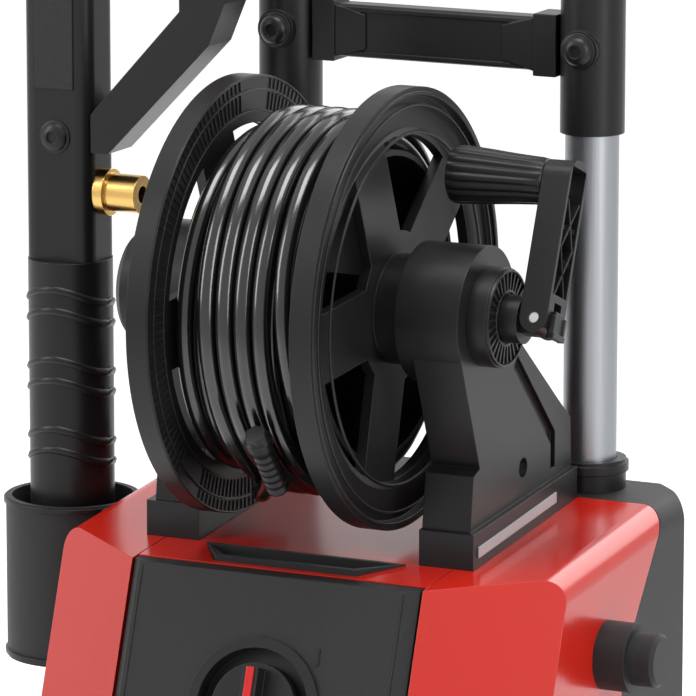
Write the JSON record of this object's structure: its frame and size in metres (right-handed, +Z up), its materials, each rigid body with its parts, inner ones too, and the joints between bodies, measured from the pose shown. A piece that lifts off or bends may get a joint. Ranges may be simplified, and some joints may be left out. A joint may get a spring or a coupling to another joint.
{
  "type": "pressure washer",
  "caption": "Upright electric pressure washer on two wheels with a hose reel and folding crank, telescopic push handle, selector switch and a trigger gun standing in a side holder.",
  "frame": {"origin": "centre of the front foot's flat underside, on the floor", "axes": "+Z up, +X towards the crank side, -Y towards the front panel"},
  "size_m": [0.431, 0.3876, 0.896],
  "materials": {
    "red_cover": "satin injection-moulded",
    "textured_black": "fine stipple",
    "satin_black": "satin",
    "rubber": "matte",
    "tyre": "matte",
    "light_grey": "satin",
    "steel": "zinc plated",
    "tube_aluminium": "anodised, brushed",
    "cast_aluminium": "as cast",
    "motor_paint": "semi-gloss",
    "brass": "machined",
    "trigger_orange": "satin",
    "signal_red": "satin",
    "hose": "glossy smooth jacket"
  },
  "bodies": {
    "washer": {"chassis": "textured_black", "front_foot": "textured_black", "foot_pad": "rubber", "right_red_cover": "red_cover", "left_red_cover": "red_cover", "rear_cover": "textured_black", "front_panel": "textured_black", "top_deck": "red_cover", "deck_tray": "textured_black", "right_vent": "textured_black", "left_vent": "textured_black", "switch_bezel": "satin_black", "switch_box": "textured_black", "right_pedestal": "satin_black", "left_pedestal": "satin_black", "pedestal_trims": "light_grey", "pedestal_screws": "steel", "bearing_ring": "satin_black", "swivel_cover": "satin_black", "tube_guides": "textured_black", "tube_collars": "satin_black", "gun_holder": "textured_black", "accessory_peg": "textured_black", "water_inlet": "brass", "inlet_pipe": "steel", "riser_pipe": "steel", "cable_gland": "satin_black", "pump_head": "cast_aluminium", "motor": "motor_paint", "axle": "steel", "axle_caps": "light_grey"},
    "switch": {"switch_knob": "satin_black", "switch_pointer": "signal_red"},
    "reel": {"reel_core": "satin_black", "right_flange": "satin_black", "left_flange": "satin_black", "hose_winding": "hose", "hose_fitting": "brass", "reel_shaft": "steel", "crank_neck": "satin_black"},
    "crank": {"crank_arm": "satin_black", "crank_pin": "steel", "grip_pin": "steel"},
    "crank_handle": {"crank_grip": "satin_black"},
    "handle": {"handle_tubes": "tube_aluminium", "handle_grip": "satin_black", "cross_bar": "satin_black", "handle_bolts": "steel"},
    "right_wheel": {"right_tyre": "tyre", "right_rim": "satin_black"},
    "left_wheel": {"left_tyre": "tyre", "left_rim": "satin_black"},
    "gun": {"gun_barrel": "satin_black", "gun_housing": "satin_black", "gun_handle": "satin_black", "gun_inlet": "brass", "gun_cross_pins": "light_grey", "trigger_pin": "steel"},
    "trigger": {"gun_trigger": "trigger_orange"},
    "lock": {"gun_lock": "signal_red"}
  },
  "joints": [
    {"name": "switch_turn", "type": "hinge", "parent": "washer", "child": "switch", "pos_m": [0, 0.00019, 0.435], "axis": [0, -0.9438, 0.3305], "range_deg": [-50, 0]},
    {"name": "reel_spin", "type": "hinge", "parent": "washer", "child": "reel", "pos_m": [0, 0.092, 0.641], "axis": [1, 0, 0], "range_deg": [-75, 150]},
    {"name": "crank_fold", "type": "hinge", "parent": "reel", "child": "crank", "pos_m": [0.127, 0.092, 0.641], "axis": [0, 0.9272, -0.3746], "range_deg": [0, 180]},
    {"name": "crank_grip_spin", "type": "hinge", "parent": "crank", "child": "crank_handle", "pos_m": [0.097, 0.12047, 0.71147], "axis": [1, 0, 0], "continuous": true},
    {"name": "handle_slide", "type": "slide", "parent": "washer", "child": "handle", "axis": [0, 0, 1], "range_m": [-0.14, 0]},
    {"name": "right_wheel_spin", "type": "hinge", "parent": "washer", "child": "right_wheel", "pos_m": [0.175, 0.212, 0.115], "axis": [1, 0, 0], "continuous": true},
    {"name": "left_wheel_spin", "type": "hinge", "parent": "washer", "child": "left_wheel", "pos_m": [-0.175, 0.212, 0.115], "axis": [1, 0, 0], "continuous": true},
    {"name": "gun_lift", "type": "slide", "parent": "washer", "child": "gun", "axis": [0, 0, 1], "range_m": [0, 0.11]},
    {"name": "trigger_pull", "type": "hinge", "parent": "gun", "child": "trigger", "pos_m": [-0.1215, 0.152, 0.868], "axis": [0, -1, 0], "range_deg": [0, 3.5], "stiffness_Nm_per_rad": 1.5, "springref_deg": -1.72},
    {"name": "lock_push", "type": "slide", "parent": "gun", "child": "lock", "axis": [0, 1, 0], "range_m": [0, 0.006]}
  ]
}
